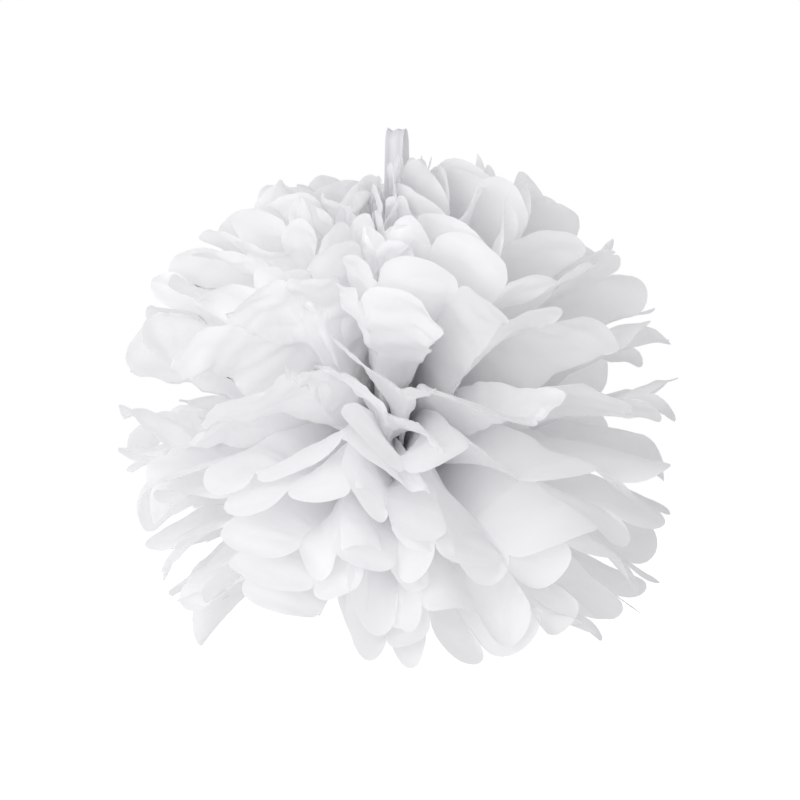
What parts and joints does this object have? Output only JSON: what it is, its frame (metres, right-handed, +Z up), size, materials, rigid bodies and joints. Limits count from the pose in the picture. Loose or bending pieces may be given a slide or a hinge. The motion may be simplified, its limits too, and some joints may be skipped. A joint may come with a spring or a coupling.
{
  "type": "tissue paper pom pom",
  "caption": "Hanging ball of white tissue paper: pleated sheets tied at the waist with wire and pulled apart into rows of round-ended petals, with a ribbon loop to hang it by.",
  "frame": {"origin": "underside of the top of the hanging ribbon's loop, where a hook or thread would carry it", "axes": "+Z up along the hanging line, the waist tie lies in the YZ plane 135 mm below the origin, the pleated strips run along X, and the front faces -Y"},
  "size_m": [0.2504, 0.2524, 0.2354],
  "materials": {
    "tissue_paper": "matte",
    "wire": "satin",
    "ribbon": "satin"
  },
  "bodies": {
    "root": {"tissue_sheet_01": "tissue_paper", "tissue_sheet_02": "tissue_paper", "tissue_sheet_03": "tissue_paper", "tissue_sheet_04": "tissue_paper", "tissue_sheet_05": "tissue_paper", "tissue_sheet_06": "tissue_paper", "tissue_sheet_07": "tissue_paper", "tissue_sheet_08": "tissue_paper", "tissue_sheet_09": "tissue_paper", "tissue_sheet_10": "tissue_paper", "tissue_sheet_11": "tissue_paper", "tissue_sheet_12": "tissue_paper", "tie_wire": "wire", "hanging_ribbon": "ribbon"}
  },
  "joints": []
}
